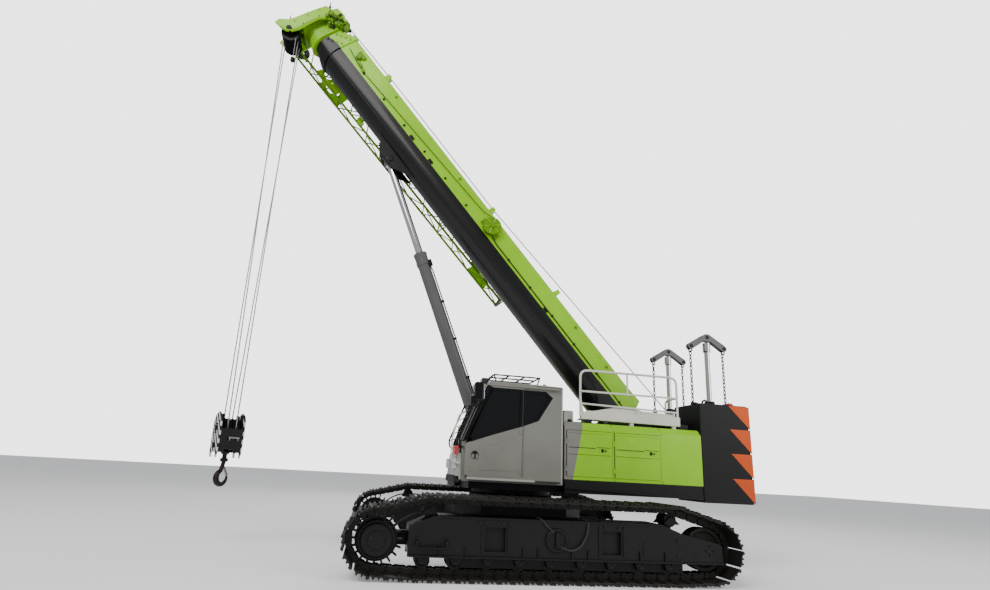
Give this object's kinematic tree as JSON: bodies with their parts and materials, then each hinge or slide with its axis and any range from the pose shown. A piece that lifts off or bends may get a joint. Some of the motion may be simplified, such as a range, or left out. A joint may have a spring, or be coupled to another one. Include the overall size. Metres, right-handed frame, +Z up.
{
  "type": "telescopic boom crawler crane",
  "caption": "Crawler crane with a raised telescopic boom on tracks, a luffing cylinder, hook block, side cab, hood doors and a self-lifting counterweight.",
  "frame": {"origin": "on the ground under the middle of the machine's bounding box, boom raised as stored", "axes": "+X forward, the way the boom points; +Y to the machine's left, the cab's side; +Z up"},
  "size_m": [9.6518, 5.2, 11.1192],
  "materials": {
    "lime_paint": "gloss",
    "grey_paint": "satin",
    "black_paint": "satin",
    "dark_steel": "matte",
    "chrome_rod": "polished",
    "glazing": "gloss",
    "rail_paint": "satin",
    "wire_rope": "matte",
    "seat_cloth": "matte"
  },
  "bodies": {
    "undercarriage": {"car_body": "black_paint", "slew_ring": "dark_steel", "track_frame_l": "black_paint", "track_frame_r": "black_paint", "track_l": "black_paint", "track_r": "black_paint", "drive_sprocket_l": "black_paint", "drive_sprocket_r": "black_paint", "idler_l": "black_paint", "idler_r": "black_paint", "track_rollers_l": "dark_steel", "track_rollers_r": "dark_steel"},
    "superstructure": {"revolving_frame": "black_paint", "left_housing": "lime_paint", "right_housing": "lime_paint", "engine": "dark_steel", "cab_body": "grey_paint", "roof_guard": "black_paint", "windscreen": "glazing", "quarter_glass": "glazing", "side_glass": "glazing", "operator_seat": "seat_cloth", "handrail": "rail_paint", "lift_cylinder_l": "grey_paint", "lift_cylinder_r": "grey_paint"},
    "cab_door": {"cab_door": "grey_paint", "door_glass": "glazing"},
    "left_hood_door_front": {"left_hood_door_front": "lime_paint"},
    "left_hood_door_rear": {"left_hood_door_rear": "lime_paint"},
    "right_hood_door_front": {"right_hood_door_front": "lime_paint"},
    "right_hood_door_rear": {"right_hood_door_rear": "lime_paint"},
    "winch_drum_rear": {"winch_drum_rear": "dark_steel"},
    "winch_drum_front": {"winch_drum_front": "dark_steel"},
    "counterweight": {"counterweight": "black_paint", "lift_mast_l": "chrome_rod", "lift_mast_r": "chrome_rod"},
    "boom_foot_pin": {"boom_foot_pin": "dark_steel"},
    "boom": {"boom_base": "lime_paint", "stowed_jib": "black_paint"},
    "boom_section_2": {"boom_section_2": "lime_paint"},
    "boom_section_3": {"boom_section_3": "lime_paint"},
    "boom_section_4": {"boom_section_4": "lime_paint"},
    "boom_section_5": {"boom_section_5": "lime_paint", "boom_head": "lime_paint", "top_sheave": "black_paint"},
    "head_sheaves": {"head_sheaves": "black_paint"},
    "hoist_ropes": {"hoist_rope_1": "wire_rope", "hoist_rope_2": "wire_rope", "hoist_rope_3": "wire_rope", "hoist_rope_4": "wire_rope"},
    "hook_block": {"hook_block": "black_paint"},
    "hook": {"hook": "black_paint"},
    "luffing_foot_pin": {"luffing_foot_pin": "dark_steel"},
    "luffing_cylinder": {"luffing_cylinder": "dark_steel"},
    "luffing_piston": {"luffing_piston": "dark_steel"},
    "luffing_rod": {"luffing_rod": "chrome_rod"}
  },
  "joints": [
    {"name": "slew", "type": "hinge", "parent": "undercarriage", "child": "superstructure", "pos_m": [-0.60895, 0, 1.1], "axis": [0, 0, 1], "continuous": true},
    {"name": "cab_door_slide", "type": "slide", "parent": "superstructure", "child": "cab_door", "axis": [-1, 0, 0], "range_m": [0, 0.62]},
    {"name": "left_hood_door_front_hinge", "type": "hinge", "parent": "superstructure", "child": "left_hood_door_front", "pos_m": [-1.18495, 1.502, 1.6], "axis": [0, 0, -1], "range_deg": [0, 100]},
    {"name": "left_hood_door_rear_hinge", "type": "hinge", "parent": "superstructure", "child": "left_hood_door_rear", "pos_m": [-2.04495, 1.502, 1.6], "axis": [0, 0, -1], "range_deg": [0, 100]},
    {"name": "right_hood_door_front_hinge", "type": "hinge", "parent": "superstructure", "child": "right_hood_door_front", "pos_m": [-1.18495, -1.502, 1.6], "axis": [0, 0, 1], "range_deg": [0, 100]},
    {"name": "right_hood_door_rear_hinge", "type": "hinge", "parent": "superstructure", "child": "right_hood_door_rear", "pos_m": [-2.04495, -1.502, 1.6], "axis": [0, 0, 1], "range_deg": [0, 100]},
    {"name": "winch_rear_turn", "type": "hinge", "parent": "superstructure", "child": "winch_drum_rear", "pos_m": [-4.16895, 0, 2.3], "axis": [0, 1, 0], "continuous": true},
    {"name": "winch_front_turn", "type": "hinge", "parent": "superstructure", "child": "winch_drum_front", "pos_m": [-3.55895, 0, 2.02], "axis": [0, 1, 0], "continuous": true},
    {"name": "counterweight_lift", "type": "slide", "parent": "superstructure", "child": "counterweight", "axis": [0, 0, -1], "range_m": [0, 0.59]},
    {"name": "boom_luff_down", "type": "hinge", "parent": "superstructure", "child": "boom_foot_pin", "pos_m": [-2.95895, 0, 2.5], "axis": [0, -1, 0], "range_deg": [-46, 0]},
    {"name": "boom_luff_up", "type": "hinge", "parent": "boom_foot_pin", "child": "boom", "pos_m": [-2.95895, 0, 2.5], "axis": [0, -1, 0], "range_deg": [0, 25.7]},
    {"name": "telescope", "type": "slide", "parent": "boom", "child": "boom_section_2", "axis": [0.6521, 0, 0.7581], "range_m": [0, 7.9]},
    {"name": "telescope_3", "type": "slide", "parent": "boom_section_2", "child": "boom_section_3", "axis": [0.6521, 0, 0.7581], "range_m": [0, 7.9]},
    {"name": "telescope_4", "type": "slide", "parent": "boom_section_3", "child": "boom_section_4", "axis": [0.6521, 0, 0.7581], "range_m": [0, 7.9]},
    {"name": "telescope_5", "type": "slide", "parent": "boom_section_4", "child": "boom_section_5", "axis": [0.6521, 0, 0.7581], "range_m": [0, 7.9]},
    {"name": "head_level_down", "type": "hinge", "parent": "boom_section_5", "child": "head_sheaves", "pos_m": [4.5809, 0, 10.29977], "axis": [0, -1, 0], "range_deg": [0, 46]},
    {"name": "head_level_up", "type": "hinge", "parent": "head_sheaves", "child": "hoist_ropes", "pos_m": [4.5809, 0, 10.29977], "axis": [0, -1, 0], "range_deg": [-25.7, 0]},
    {"name": "hoist", "type": "slide", "parent": "hoist_ropes", "child": "hook_block", "axis": [0, 0, -1], "range_m": [-7.4, 0.9], "deforming": ["hoist_rope_1", "hoist_rope_2", "hoist_rope_3", "hoist_rope_4"]},
    {"name": "hook_swivel", "type": "hinge", "parent": "hook_block", "child": "hook", "pos_m": [4.5809, 0, 1.46], "axis": [0, 0, 1], "continuous": true},
    {"name": "cylinder_tilt_down", "type": "hinge", "parent": "superstructure", "child": "luffing_foot_pin", "pos_m": [-0.19895, 0, 1.6], "axis": [0, -1, 0], "range_deg": [-58.8, 0]},
    {"name": "cylinder_tilt_up", "type": "hinge", "parent": "luffing_foot_pin", "child": "luffing_cylinder", "pos_m": [-0.19895, 0, 1.6], "axis": [0, -1, 0], "range_deg": [0, 24.32]},
    {"name": "cylinder_stroke_up", "type": "slide", "parent": "luffing_cylinder", "child": "luffing_piston", "axis": [0.3724, 0, 0.9281], "range_m": [0, 1.28]},
    {"name": "cylinder_stroke_down", "type": "slide", "parent": "luffing_piston", "child": "luffing_rod", "axis": [0.3724, 0, 0.9281], "range_m": [-1.913, 0]}
  ],
  "couplings": [
    {"joint": "telescope_3", "follows": "telescope", "ratio": 1},
    {"joint": "telescope_4", "follows": "telescope", "ratio": 1},
    {"joint": "telescope_5", "follows": "telescope", "ratio": 1},
    {"joint": "head_level_down", "follows": "boom_luff_down", "ratio": -1},
    {"joint": "head_level_up", "follows": "boom_luff_up", "ratio": -1},
    {"joint": "cylinder_tilt_down", "follows": "boom_luff_down", "ratio": 1.2761},
    {"joint": "cylinder_tilt_up", "follows": "boom_luff_up", "ratio": 0.94227},
    {"joint": "cylinder_stroke_up", "follows": "boom_luff_up", "m_per_rad": 2.8488},
    {"joint": "cylinder_stroke_down", "follows": "boom_luff_down", "m_per_rad": 2.3803}
  ]
}
